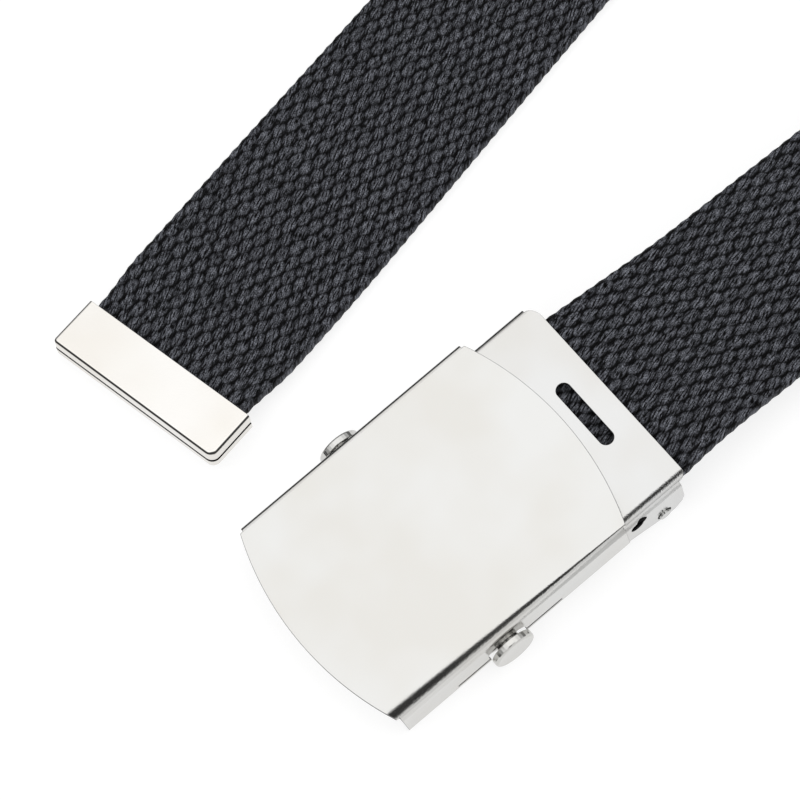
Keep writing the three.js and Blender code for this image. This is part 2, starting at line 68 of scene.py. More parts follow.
# Roll of the webbing about its own line in degrees, and its width, at shares of its length
ROLLS = [(0, 2.4), (0.05, 0), (0.12, 0), (0.27, 90), (0.73, 90), (0.89, 0), (1, 0)]
WIDTHS = [(0, 0.98), (0.01, 0.98), (0.022, 1.035), (0.12, 0.99), (0.89, 0.99), (1, 0.99)]

# Tip and buckle sizes that the webbing and the finishes follow
TIP_LENGTH = 0.0109
TIP_SHEET = 0.0008
TIP_TILT = math.radians(4)
TIP_WIDTH = 0.04044
TIP_THICKNESS = 0.0052
TIP_OFFSET = 0.0004
TIP_SEAM_HEIGHT = 0.42
TIP_SEAM_LOW = (TIP_SEAM_HEIGHT - 0.5) * TIP_THICKNESS  # up from the tip's middle height
TIP_SEAM = 0.00045
TIP_CORNERS = {1: 0.0009, -1: 0.0017}  # radius at the free end's left and right corner
TIP_ROUNDING = 0.0007
TIP_LOWER_PROUD = 0.00008  # how far the lower fold stands out past the upper one
ARC_STEPS = 6
GAP = 0.0003
BUCKLE_PITCH = math.radians(5.9107)
COVER_LENGTH = 0.054
COVER_DEPTH = 0.0084
COVER_WIDTH = 0.0478
COVER_BEND = 0.001
COVER_WALL_SETBACK = 0.00065
FRAME_WIDTH = 0.0456
FRAME_BEND = 0.0012
STRAP_DEPTH = 0.007
STRAP_OFFSET_IN_BUCKLE = 0.0011
COVER_SLIT = ((0.0126, -0.0075), (0.0371, -0.0069))  # its corners, rearward and up
RELIEF_HOLES = (((0.0562, -0.007), 0.0014), ((0.0573, -0.0061), 0.0012))  # middle and radius
PAINT_MARGIN = 0.00003  # how far the painted shade of a slit, hole or seam reaches past its size
FLANGE_REAR = 0.067
PLATE_REAR = 0.069

# Weave: rows of oval floats in a brick pattern, on both faces
FLOAT_PITCH = 0.0057  # along the webbing, from float to float
FLOAT_COLUMN = 0.00263  # across the webbing, between columns that lie level
FLOAT_LENGTH = 0.0041
FLOAT_WIDTH = 0.0024
STEPS_PER_FLOAT = 4
COLUMNS_PER_FLOAT = 4
FACE_COLUMNS = 56
RELIEF = 0.00026
BRICK_SHIFT = 0.5  # of the second set of floats, as a share of the pitch and of the column
EDGE_LOOPS = 0.0001  # half of how far each edge goes in between the weft's turns
LOOPS_PER_FLOAT = 2
EDGE_ROWS = [(0.9, 0.62), (1, 0), (0.9, -0.62)]  # shares of the edge's overhang and of half the thickness
HEADING_STEP = 0.0005  # how far ahead and behind a point the webbing's direction is taken

# Cotton. Noise is in cycles a metre. Tones are two noise values and the two shares of colour they become.
WANDER_NOISE = 420
WANDER = 0.0014  # of the floats along the webbing
SWAY_NOISE = 150
SWAY = 0.0007  # of the floats across it
FIBRE_NOISE = 3300
FIBRE_ANGLE = math.radians(19)  # of the spun fibres to the webbing's own line
FIBRE_STRETCH = 5
FUZZ_NOISE = 3600
FLOAT_TONES = (0, 1, 0.86, 1.14)
FIBRE_TONES = (0.36, 0.66, 0, 2.1)
FUZZ_TONES = (0.34, 0.66, 0.3, 1.7)
LIT_HEIGHTS = (0.32, 0.85)  # of the floats, where the painted shade of the gaps ends and the full colour begins
# Painted shade: near-black colour laid into the gaps between the floats, where shade falls
WEAVE_GAP_SHADE = (0.0022, 0.0023, 0.0028, 1)
FLOAT_COLOR = (0.0625, 0.065, 0.0745, 1)
FLOAT_BUMP = 0.00035
FIBRE_BUMP = (0.00022, 0.8)  # depth and strength
FUZZ_BUMP = (0.0001, 0.6)
COTTON_ROUGHNESS = 0.92
COTTON_SPECULAR = 0.1
COTTON_SHEEN = 0.05
COTTON_SHEEN_ROUGHNESS = 0.5

# Nickel plate. Noise is in cycles a metre.
CLOUD_NOISE = 55
GRAIN_NOISE = (3200, 2, 0.6)  # scale, detail and roughness
SPECK_NOISE = (1500, 2, 0.7)
CLOUD_RANGE = (0.35, 0.65)
SPECK_RANGE = (0.74, 0.82)
TINTS = {
    "belt_tip": (0.77, 0.755, 0.73),
    "buckle_cover": (0.615, 0.614, 0.603),
    "buckle_frame": (0.6, 0.6, 0.595),
    "grip_roller": (0.6, 0.6, 0.59),
    "strap_clamp": (0.55, 0.55, 0.54),
}
WARM_SHARES = (0.96, 0.945, 0.92)  # of the tint, where the plate is cloudy
DULL_SHARES = (0.85, 0.85, 0.84)  # of the tint, in a speck
LINE_COLOR = (0.05, 0.05, 0.05, 1)  # of painted lines that stand in for dark reflections
# painted shade: near-black colour on the walls of slits, relief holes and the tip's seam
PAINTED_GAP_SHADE = (0.006, 0.006, 0.006, 1)
PLATE_ROUGHNESS = (0.3, 0.7, 0.09, 0.16)  # two values of the cloud noise and the roughness they become
SPECK_ROUGHNESS = 0.2  # what a speck and a painted line add
LINE_ROUGHNESS = 0.25
CLOUD_BUMP = (0.0003, 0.4)
GRAIN_BUMP = (0.00003, 0.6)
BEND_STARTS = (0.4, 0.55)  # how far upward the plate faces where the dark line of a bend starts and stops
BEND_STOPS = (0.94, 0.86)
END_FACING = (0.25, 0.6)  # how far forward or rearward a sheared end faces
LEFT_FACING = (0, 0.2)
COVER_ROLL_OFF = (0.0026, 0.0002)  # width of the soft bend at the cover's front and rear
COVER_ROLL_TILT = math.radians(26)
FRAME_ROLL_OFF = (0.0016, 0.0016)
FRAME_ROLL_TILT = math.radians(28)

# Small rounded edges
EDGE_WIDTHS = {
    "buckle_cover": 0.00012,
    "buckle_frame": 0.00006,
    "grip_roller": 0.0002,
    "strap_clamp": 0.0001,
}
EDGE_ANGLE = math.radians(35)
EDGE_SEGMENTS = 3
WELD_DISTANCE = 0.0001
FLAT_ANGLE = math.radians(0.5)
TIP_EDGE_WIDTH = 0.00008
TIP_EDGE_ANGLE = math.radians(50)
TIP_EDGE_SEGMENTS = 2

# Camera, fitted to the outlines of the straps, the tip and the buckle
CAMERA_AT = Vector((-0.325661, -0.180848, 0.527045))
CAMERA_LOOKS = Vector((0.199045, 0.309728, -0.929758))
CAMERA_UP = Vector((0.679054, 0.640467, 0.35873))
CAMERA_LENS = 135
CAMERA_SENSOR = 36
CAMERA_CLIP = 0.01

# Light: a bright room, darker low down except on the buckle's right, and dark round the camera.
# It is set so that the plate mirrors what it does in the photograph, from that one camera.
SKY_STRENGTH = 1.0
SKY_TOP = 1.42
SKY_MIDDLE = 0.9
TOP_RANGE = (0.6, 0.93)  # upward shares of the direction between the middle and the top of the sky
SKY_LOW = 0.04
LOW_FROM = 0.1
LOW_TO = 0.66
OPEN_SIDE = (0.1, 0.5)  # rightward shares of the direction where the low light begins and is full
CAMERA_PATCH = (14, 21)  # half angles in degrees of its core and of its soft rim
PATCH_LIGHT = 0.03
KEY_STRENGTH = 0.6
KEY_SIZE = 0.6
KEY_AT = Vector((-0.75, 0.35, 0.9))
BELT_ENDS = Vector((-0.2, 0, 0))
FLOOR_SIZE = 6
FLOOR_COLOR = (0.3, 0.3, 0.3, 1)
FLOOR_ROUGHNESS = 0.9
FLOOR_GLOW = 0.78


# Route of the webbing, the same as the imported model's


def smooth(share):
    share = np.clip(share, 0, 1)
    return share * share * (3 - 2 * share)


def read_table(rows, share):
    places = np.array([row[0] for row in rows])
    values = np.array([row[1] for row in rows])
    row = np.clip(np.searchsorted(places, share) - 1, 0, len(rows) - 2)
    blend = smooth((share - places[row]) / (places[row + 1] - places[row]))
    return values[row] + blend * (values[row + 1] - values[row])


def unit_half_turn():
    """Points of the half turn for a length of one, in the plane of the floor."""
    shares = (np.arange(TURN_STEPS) + 0.5) / TURN_STEPS
    headings = HALF_ANGLE - (math.pi / 2 + HALF_ANGLE) * (1 - np.cos(math.pi * shares / 2))
    steps = np.stack([np.cos(headings), np.sin(headings)], axis=1) / TURN_STEPS
    return np.vstack([np.zeros((1, 2)), np.cumsum(steps, axis=0)])


HALF_TURN = unit_half_turn()
STRAP_START = TIP_FROM_CROSSING + TIP_SHEET + GAP
STRAP_STOP = BUCKLE_FROM_CROSSING + STRAP_END_AT
TURN_SHARE = math.sin(HALF_ANGLE) / -HALF_TURN[-1, 1]
TURN_FROM_CROSSING = (STRAP_LENGTH + STRAP_START + STRAP_STOP) / (2 * (1 + TURN_SHARE))
HALF_TURN_LENGTH = TURN_FROM_CROSSING * TURN_SHARE
MOUTH_FROM_START = TIP_LENGTH - TIP_SHEET - GAP


def plan_points(along):
    """Plan places at distances along the webbing, counted from the crossing."""
    first_half = along <= TURN_FROM_CROSSING + HALF_TURN_LENGTH - STRAP_START
    line = np.where(first_half, STRAP_START + along, STRAP_STOP + STRAP_LENGTH - along)
    straight = np.minimum(line, TURN_FROM_CROSSING)
    place = np.clip((line - TURN_FROM_CROSSING) / HALF_TURN_LENGTH, 0, 1) * TURN_STEPS
    steps = np.arange(TURN_STEPS + 1)
    x = straight * math.cos(HALF_ANGLE) + HALF_TURN_LENGTH * np.interp(place, steps, HALF_TURN[:, 0])
    y = straight * math.sin(HALF_ANGLE) + HALF_TURN_LENGTH * np.interp(place, steps, HALF_TURN[:, 1])
    return x, np.where(first_half, y, -y)


def strap_roll(along):
    return np.radians(read_table(ROLLS, along / STRAP_LENGTH))


def strap_width(along):
    width = STRAP_WIDTH * read_table(WIDTHS, along / STRAP_LENGTH)
    behind = np.maximum(STRAP_LENGTH - along + STRAP_END_AT - PLATE_REAR, 0)
    return width + FLARE * np.exp(-behind / FLARE_LENGTH)


def buckle_height(rearward, depth):
    down = (COVER_DEPTH - depth) * math.cos(BUCKLE_PITCH)
    return down + (rearward - COVER_WALL_SETBACK) * math.sin(BUCKLE_PITCH)


def strap_height(along):
    """Height of the webbing's middle line, which lies on the floor or is carried by an end piece."""
    roll = strap_roll(along)
    resting = strap_width(along) / 2 * np.sin(roll) + STRAP_THICKNESS / 2 * np.cos(roll)
    past = along - MOUTH_FROM_START
    start = np.zeros(1)
    settle = TIP_SHEET + GAP + ((TIP_WIDTH - strap_width(start)) / 2 * np.sin(strap_roll(start)))[0]
    lift = settle * (1 - np.clip(past / SETTLE_LENGTH, 0, 1)) ** 2
    lift = np.where(past < 0, settle - past * math.tan(TIP_TILT), lift)
    in_buckle = STRAP_LENGTH - along + STRAP_END_AT
    carried = buckle_height(in_buckle, STRAP_DEPTH)
    level = resting + (LEVEL_HEIGHT - STRAP_THICKNESS / 2) * (1 - np.sin(roll))
    levelled = smooth((in_buckle - FLANGE_REAR) / LEVEL_LENGTH)
    second_half = carried + levelled * (level - carried)
    return np.where(along > STRAP_LENGTH / 2, second_half, resting + lift)


def strap_points(along):
    x, y = plan_points(along)
    return np.stack([x, y, strap_height(along)], axis=1) + np.array(CROSSING)


def unit(vectors):
    return vectors / np.linalg.norm(vectors, axis=1, keepdims=True)


def strap_axes(along):
    """The webbing's face direction and its direction across, at each distance along it."""
    ahead = strap_points(np.minimum(along + HEADING_STEP, STRAP_LENGTH))
    forward = unit(ahead - strap_points(np.maximum(along - HEADING_STEP, 0)))
    left = unit(np.cross((0, 0, 1), forward))
    up = np.cross(forward, left)
    roll = strap_roll(along)[:, None]
    face = up * np.cos(roll) + left * np.sin(roll)
    across = left * np.cos(roll) - up * np.sin(roll)
    return face, across


# Webbing mesh


def float_cap(along, across, shift):
    """Height from 0 to 1 of one of the two sets of floats."""
    a = (along / FLOAT_PITCH + shift) % 1 - 0.5
    c = (across / FLOAT_COLUMN + shift) % 1 - 0.5
    far = (a * FLOAT_PITCH / (FLOAT_LENGTH / 2)) ** 2 + (c * FLOAT_COLUMN / (FLOAT_WIDTH / 2)) ** 2
    return np.sqrt(np.maximum(1 - far, 0))


def weave_height(along, across):
    return np.maximum(float_cap(along, across, 0), float_cap(along, across, BRICK_SHIFT))


def section_rows():
    """Points round the webbing's section: place across, side of the thickness, and whether it is a face."""
    step = FLOAT_COLUMN / COLUMNS_PER_FLOAT
    face = (np.arange(FACE_COLUMNS + 1) - FACE_COLUMNS / 2) * step
    overhang = STRAP_WIDTH / 2 - face[-1]
    rows = [(x, 1, True) for x in face]
    rows += [(face[-1] + share * overhang, side, False) for share, side in EDGE_ROWS]
    rows += [(x, -1, True) for x in face[::-1]]
    rows += [(face[0] - share * overhang, -side, False) for share, side in EDGE_ROWS]
    return rows


def webbing_mesh():
    stations = round(STRAP_LENGTH / (FLOAT_PITCH / STEPS_PER_FLOAT))
    along = np.linspace(0, STRAP_LENGTH, stations + 1)
    middle = strap_points(along)
    face, across = strap_axes(along)
    wider = strap_width(along) / STRAP_WIDTH
    rows = section_rows()
    rings = np.zeros((stations + 1, len(rows), 3))
    for i, (x, side, on_face) in enumerate(rows):
        half = STRAP_THICKNESS / 2
        if on_face:
            dip = RELIEF * (1 - weave_height(along, np.full_like(along, x)))
            height = side * (half - dip)
            place = x * wider
        else:
            height = np.full_like(along, side * half)
            loops = EDGE_LOOPS * (np.cos(2 * math.pi * LOOPS_PER_FLOAT * along / FLOAT_PITCH) - 1)
            place = x * wider + math.copysign(1, x) * loops
        rings[:, i] = middle + across * place[:, None] + face * height[:, None]
    mesh = ring_mesh("webbing", rings)
    add_cloth_places(mesh, along, rows)
    return mesh


def ring_mesh(name, rings):
    """A closed mesh through rings of points, with flat ends."""
    count, around = rings.shape[:2]
    index = np.arange(count * around).reshape(count, around)
    turned = np.roll(index, -1, axis=1)
    quads = np.stack([index[:-1], turned[:-1], turned[1:], index[1:]], axis=2).reshape(-1, 4)
    faces = [tuple(quad) for quad in quads.tolist()]
    faces.append(tuple(index[0][::-1].tolist()))
    faces.append(tuple(index[-1].tolist()))
    mesh = bpy.data.meshes.new(name)
    mesh.from_pydata(rings.reshape(-1, 3).tolist(), [], faces)
    mesh.polygons.foreach_set("use_smooth", np.ones(len(faces), bool))
    return mesh


def add_cloth_places(mesh, along, rows):
    """UVs in metres: along the webbing, and across it."""
    across = np.array([row[0] for row in rows])
    places = np.stack(np.meshgrid(along, across, indexing="ij"), axis=2).reshape(-1, 2)
    corners = np.zeros(len(mesh.loops), int)
    mesh.loops.foreach_get("vertex_index", corners)
    layer = mesh.uv_layers.new(name="cloth")
    layer.data.foreach_set("uv", places[corners].ravel())


# Node helpers


def new_material(name):
    material = bpy.data.materials.new(name)
    material.use_nodes = True
    tree = material.node_tree
    return material, tree, tree.nodes["Principled BSDF"]


def plug(tree, socket, value):
    if isinstance(value, bpy.types.NodeSocket):
        tree.links.new(value, socket)
    else:
        socket.default_value = value


def math_node(tree, operation, first, second=0.0):
    node = tree.nodes.new("ShaderNodeMath")
    node.operation = operation
    plug(tree, node.inputs[0], first)
    plug(tree, node.inputs[1], second)
    return node.outputs[0]


def plus(tree, first, second):
    return math_node(tree, "ADD", first, second)


def minus(tree, first, second):
    return math_node(tree, "SUBTRACT", first, second)


def times(tree, first, second):
    return math_node(tree, "MULTIPLY", first, second)


def object_place(tree):
    return tree.nodes.new("ShaderNodeTexCoord").outputs["Object"]


def surface_normal(tree):
    return tree.nodes.new("ShaderNodeNewGeometry").outputs["Normal"]


def noise(tree, place, scale, detail=2.0, roughness=0.5):
    node = tree.nodes.new("ShaderNodeTexNoise")
    plug(tree, node.inputs["Vector"], place)
    node.inputs["Scale"].default_value = scale
    node.inputs["Detail"].default_value = detail
    node.inputs["Roughness"].default_value = roughness
    return node.outputs["Fac"]


def remap(tree, value, low, high, to_low=0.0, to_high=1.0):
    node = tree.nodes.new("ShaderNodeMapRange")
    plug(tree, node.inputs["Value"], value)
    node.inputs["From Min"].default_value = low
    node.inputs["From Max"].default_value = high
    node.inputs["To Min"].default_value = to_low
    node.inputs["To Max"].default_value = to_high
    return node.outputs["Result"]


def mix_colors(tree, factor, first, second, blend="MIX"):
    node = tree.nodes.new("ShaderNodeMix")
    node.data_type = "RGBA"
    node.blend_type = blend
    plug(tree, node.inputs["Factor"], factor)
    plug(tree, node.inputs[6], first)
    plug(tree, node.inputs[7], second)
    return node.outputs[2]


def dot(tree, first, second):
    node = tree.nodes.new("ShaderNodeVectorMath")
    node.operation = "DOT_PRODUCT"
    plug(tree, node.inputs[0], first)
    plug(tree, node.inputs[1], second)
    return node.outputs["Value"]


def combine(tree, x, y, z=0.0):
    node = tree.nodes.new("ShaderNodeCombineXYZ")
    plug(tree, node.inputs[0], x)
    plug(tree, node.inputs[1], y)
    plug(tree, node.inputs[2], z)
    return node.outputs[0]


def bump(tree, height, distance, strength=1.0, normal=None):
    node = tree.nodes.new("ShaderNodeBump")
    plug(tree, node.inputs["Height"], height)
    node.inputs["Distance"].default_value = distance
    node.inputs["Strength"].default_value = strength
    if normal is not None:
        tree.links.new(normal, node.inputs["Normal"])
    return node.outputs["Normal"]


# Cotton


def float_nodes(tree, along, across, shift):
    """Height of one set of floats, and a number that differs from float to float."""
    a = plus(tree, math_node(tree, "DIVIDE", along, FLOAT_PITCH), shift)
    c = plus(tree, math_node(tree, "DIVIDE", across, FLOAT_COLUMN), shift)
    a_off = minus(tree, math_node(tree, "FRACT", a), 0.5)
    c_off = minus(tree, math_node(tree, "FRACT", c), 0.5)
    a_far = times(tree, a_off, 2 * FLOAT_PITCH / FLOAT_LENGTH)
    c_far = times(tree, c_off, 2 * FLOAT_COLUMN / FLOAT_WIDTH)
    far = plus(tree, math_node(tree, "POWER", a_far, 2), math_node(tree, "POWER", c_far, 2))
    left = math_node(tree, "MAXIMUM", minus(tree, 1, far), 0)
    cell = combine(tree, math_node(tree, "FLOOR", a), math_node(tree, "FLOOR", c), shift)
    white = tree.nodes.new("ShaderNodeTexWhiteNoise")
    tree.links.new(cell, white.inputs["Vector"])
    return math_node(tree, "SQRT", left), white.outputs["Value"]


def cotton():
    material, tree, shader = new_material("charcoal_cotton")
    place = tree.nodes.new("ShaderNodeUVMap")
    place.uv_map = "cloth"
    split = tree.nodes.new("ShaderNodeSeparateXYZ")
    tree.links.new(place.outputs["UV"], split.inputs[0])
    wander = minus(tree, noise(tree, place.outputs["UV"], WANDER_NOISE, 1), 0.5)
    sway = minus(tree, noise(tree, place.outputs["UV"], SWAY_NOISE, 1), 0.5)
    along = plus(tree, split.outputs[0], times(tree, wander, WANDER))
    across = plus(tree, split.outputs[1], times(tree, sway, SWAY))
    first, first_tone = float_nodes(tree, along, across, 0.0)
    second, second_tone = float_nodes(tree, along, across, BRICK_SHIFT)
    height = math_node(tree, "MAXIMUM", first, second)
    on_first = math_node(tree, "GREATER_THAN", first, second)
    on_second = minus(tree, 1, on_first)
    tone = plus(tree, times(tree, first_tone, on_first), times(tree, second_tone, on_second))
    turn = tree.nodes.new("ShaderNodeMapping")
    turn.vector_type = "TEXTURE"
    turn.inputs["Rotation"].default_value[2] = FIBRE_ANGLE
    turn.inputs["Scale"].default_value = (FIBRE_STRETCH, 1, 1)
    tree.links.new(place.outputs["UV"], turn.inputs["Vector"])
    streaks = noise(tree, turn.outputs["Vector"], FIBRE_NOISE, 1)
    fuzz = noise(tree, place.outputs["UV"], FUZZ_NOISE, 1)
    # Painted shade: each float's colour fades to the near-black gap colour toward its low edges
    base = mix_colors(tree, remap(tree, height, *LIT_HEIGHTS), WEAVE_GAP_SHADE, FLOAT_COLOR)
    shade = times(tree, remap(tree, tone, *FLOAT_TONES), remap(tree, streaks, *FIBRE_TONES))
    shade = times(tree, shade, remap(tree, fuzz, *FUZZ_TONES))
    color = mix_colors(tree, 1.0, base, combine(tree, shade, shade, shade), "MULTIPLY")
    tree.links.new(color, shader.inputs["Base Color"])
    threads = bump(tree, streaks, *FIBRE_BUMP, bump(tree, height, FLOAT_BUMP))
    tree.links.new(bump(tree, fuzz, *FUZZ_BUMP, threads), shader.inputs["Normal"])
    shader.inputs["Roughness"].default_value = COTTON_ROUGHNESS
    shader.inputs["Specular IOR Level"].default_value = COTTON_SPECULAR
    shader.inputs["Sheen Weight"].default_value = COTTON_SHEEN
    shader.inputs["Sheen Roughness"].default_value = COTTON_SHEEN_ROUGHNESS
    return material


def webbing():
    piece = bpy.data.objects.new("webbing", webbing_mesh())
    bpy.context.scene.collection.objects.link(piece)
    piece.data.materials.append(cotton())
    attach(piece, "belt")
    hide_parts("belt_strap")
    return piece


# Nickel plate


def buckle_axes():
    """Place and turn of the buckle's own axes: rearward, left and up from the middle of the face's front."""
    lean = COVER_DEPTH * math.sin(BUCKLE_PITCH)
    start = Vector((BUCKLE_FROM_CROSSING - lean, STRAP_OFFSET_IN_BUCKLE, buckle_height(0, 0)))
    heading = Matrix.Rotation(-HALF_ANGLE, 3, "Z")
    return CROSSING + heading @ start, heading @ Matrix.Rotation(-BUCKLE_PITCH, 3, "Y")


def tip_axes():
    """Place and turn of the tip's own axes: toward the webbing, across and up, from its mouth's middle."""
    middle = np.array([MOUTH_FROM_START / 2])
    face, across = (Vector(vectors[0]) for vectors in strap_axes(middle))
    forward = across.cross(face)
    place = Vector(strap_points(middle)[0]) + forward * MOUTH_FROM_START / 2 - across * TIP_OFFSET
    return place, Matrix((forward, across, face)).transposed()


def own_place(tree, axes):
    """Where a point is in a piece's own axes."""
    place, turn = axes
    node = tree.nodes.new("ShaderNodeMapping")
    node.vector_type = "TEXTURE"
    node.inputs["Location"].default_value = place
    node.inputs["Rotation"].default_value = turn.to_euler("XYZ")
    tree.links.new(object_place(tree), node.inputs["Vector"])
    split = tree.nodes.new("ShaderNodeSeparateXYZ")
    tree.links.new(node.outputs["Vector"], split.inputs[0])
    return split.outputs


def bend_turn(tree, up):
    """1 where the plate turns through a bend, between its faces and its walls."""
    upward = math_node(tree, "ABSOLUTE", dot(tree, surface_normal(tree), up))
    return times(tree, remap(tree, upward, *BEND_STARTS), remap(tree, upward, *BEND_STOPS))


def buckle_dark_lines(tree):
    """1 on the sheared ends and the left bends, where the photograph's plate mirrors something dark.

    The right bends have none: there the soft bend mirrors the dark patch of the sky.
    """
    rearward, leftward, up = buckle_axes()[1].transposed()
    normal = surface_normal(tree)
    end = remap(tree, math_node(tree, "ABSOLUTE", dot(tree, normal, rearward)), *END_FACING)
    bend = times(tree, bend_turn(tree, up), remap(tree, dot(tree, normal, leftward), *LEFT_FACING))
    return math_node(tree, "MAXIMUM", end, bend)


def tip_dark_lines(tree):
    """1 on the turn of the tip's folds on all sides, in place of the dark reflections there."""
    return bend_turn(tree, tip_axes()[1].col[2])


def soft_bend(tree, rearward, leftward, edge, reach, tilt):
    """Height of a face that rolls off softly toward a bend: reach is its width at the front and the rear."""
    side = math.copysign(1, edge)
    front, rear = reach
    width = remap(tree, rearward, 0, COVER_LENGTH, front, rear)
    inward = minus(tree, abs(edge), times(tree, leftward, side))
    over = math_node(tree, "MAXIMUM", minus(tree, width, inward), 0)
    steepness = math_node(tree, "DIVIDE", -math.tan(tilt) / 2, width)
    return times(tree, steepness, times(tree, over, over))


def shaded(tint, shares):
    return tuple(t * share for t, share in zip(tint, shares)) + (1,)


def nickel(piece, lines=None, dark=None, rolled=()):
    """Bright plate with painted dark lines that stand in for dark reflections, and painted shade in gaps.
    rolled lists heights of soft bends.
    """
    material, tree, shader = new_material(piece + "_nickel")
    tint = TINTS[piece]
    place = object_place(tree)
    cloud = noise(tree, place, CLOUD_NOISE)
    grain = noise(tree, place, *GRAIN_NOISE)
    specks = remap(tree, noise(tree, place, *SPECK_NOISE), *SPECK_RANGE)
    color = mix_colors(tree, remap(tree, cloud, *CLOUD_RANGE), tint + (1,), shaded(tint, WARM_SHARES))
    color = mix_colors(tree, specks, color, shaded(tint, DULL_SHARES))
    rough = plus(tree, remap(tree, cloud, *PLATE_ROUGHNESS), times(tree, specks, SPECK_ROUGHNESS))
    if lines is not None:
        line = lines(tree)
        color = mix_colors(tree, line, color, LINE_COLOR)
        rough = plus(tree, rough, times(tree, line, LINE_ROUGHNESS))
    if dark is not None:
        # painted shade: near-black colour in slits, holes and the seam
        gap = dark(tree)
        color = mix_colors(tree, gap, color, PAINTED_GAP_SHADE)
        rough = math_node(tree, "MAXIMUM", rough, gap)
    tree.links.new(color, shader.inputs["Base Color"])
    tree.links.new(rough, shader.inputs["Roughness"])
    normal = bump(tree, cloud, *CLOUD_BUMP)
    for bend in rolled:
        normal = bump(tree, bend(tree), 1.0, 1.0, normal)
    tree.links.new(bump(tree, grain, *GRAIN_BUMP, normal), shader.inputs["Normal"])
    shader.inputs["Metallic"].default_value = 1
    return material


def within(tree, value, low, high):
    above = math_node(tree, "GREATER_THAN", value, low)
    return times(tree, above, math_node(tree, "LESS_THAN", value, high))


def slit_painted_shade(tree):
    """1 on the walls of the slits in the cover's side walls, which get painted shade for the dark inside of
    the buckle.
    """
    place = own_place(tree, buckle_axes())
    (front, low), (rear, high) = COVER_SLIT
    inside = within(tree, place[2], low - PAINT_MARGIN, high + PAINT_MARGIN)
    return times(tree, inside, within(tree, place[0], front, rear))


def tip_seam_painted_shade(tree):
    """1 on the two edges of the tip's folds, which face each other across the gap and get painted shade
    there.
    """
    height = own_place(tree, tip_axes())[2]
    return within(tree, height, TIP_SEAM_LOW - PAINT_MARGIN, TIP_SEAM_LOW + TIP_SEAM + PAINT_MARGIN)


def relief_hole_painted_shade(tree):
    """1 on the walls of the relief holes in the frame's bends, which get painted shade."""
    place = own_place(tree, buckle_axes())
    inside = 0.0
    for (rearward, height), radius in RELIEF_HOLES:
        off_x = minus(tree, place[0], rearward)
        off_z = minus(tree, place[2], height)
        squares = plus(tree, times(tree, off_x, off_x), times(tree, off_z, off_z))
        near = math_node(tree, "LESS_THAN", squares, (radius + PAINT_MARGIN) ** 2)
        inside = math_node(tree, "MAXIMUM", near, inside)
    return inside


def cover_right_bend(tree):
    """Guessed from the dark band in the photograph, and given to the right side only."""
    place = own_place(tree, buckle_axes())
    edge = COVER_BEND - COVER_WIDTH / 2
    return soft_bend(tree, place[0], place[1], edge, COVER_ROLL_OFF, COVER_ROLL_TILT)


def frame_right_bend(tree):
    """Guessed in the same way as the cover's."""
    place = own_place(tree, buckle_axes())
    edge = FRAME_BEND - FRAME_WIDTH / 2
    return soft_bend(tree, place[0], place[1], edge, FRAME_ROLL_OFF, FRAME_ROLL_TILT)


def tip_outline(grow):
    """Plan of the tip from one end of its mouth round the free end to the other, and the way out there."""
    half = TIP_WIDTH / 2 + grow
    length = TIP_LENGTH + grow
    points = [(0, half)]
    outward = [(0, 1)]
    for side in (1, -1):
        corner = TIP_CORNERS[side]
        centre = (corner - length, side * (half - corner))
        for step in range(ARC_STEPS + 1):
            share = step / ARC_STEPS if side > 0 else 1 - step / ARC_STEPS
            turn = math.pi / 2 * share
            direction = (-math.sin(turn), side * math.cos(turn))
            points.append(tuple(c + corner * d for c, d in zip(centre, direction)))
            outward.append(direction)
    points.append((0, -half))
    outward.append((0, -1))
    return np.array(points), np.array(outward)


def tip_profile(low, high):
    """A shell's section, distances in from the outline and heights: up the outside and down the inside."""
    turns = np.linspace(0, math.pi / 2, ARC_STEPS + 1)
    outside = [(0, low)]
    outside += [(TIP_ROUNDING * (1 - math.cos(t)), high - TIP_ROUNDING * (1 - math.sin(t))) for t in turns]
    inside = [(TIP_SHEET, high - TIP_SHEET), (TIP_SHEET, low)]
    return outside, inside


def tip_shell(low, high, grow):
    """One fold of the tip: a sheet with three walls, open toward the webbing. Points and faces."""
    outline, outward = tip_outline(grow)
    outside, inside = tip_profile(low, high)
    profile = outside + inside
    points = []
    for inward, height in profile:
        ring = outline - outward * inward
        ring[0, 0] = ring[-1, 0] = 0
        points += [(x, y, height) for x, y in ring]
    count = len(outline)
    rings = [list(range(i * count, (i + 1) * count)) for i in range(len(profile))]
    faces = []
    for i, ring in enumerate(rings):
        if i == len(outside) - 1:
            continue
        above = rings[(i + 1) % len(rings)]
        faces += [(ring[k], ring[k + 1], above[k + 1], above[k]) for k in range(count - 1)]
    top = rings[len(outside) - 1]
    ceiling = rings[len(outside)]
    faces.append(tuple(top))
    faces.append(tuple(reversed(ceiling)))
    left = [ring[0] for ring in rings]
    right = [ring[-1] for ring in rings]
    faces.append(tuple(mouth_face(left, right, len(outside))))
    return points, faces


def mouth_face(left, right, outside_count):
    """The C-shaped end of a shell, at the tip's mouth."""
    across_outside = left[:outside_count] + right[:outside_count][::-1]
    across_inside = right[outside_count:][::-1] + left[outside_count:]
    return across_outside + across_inside


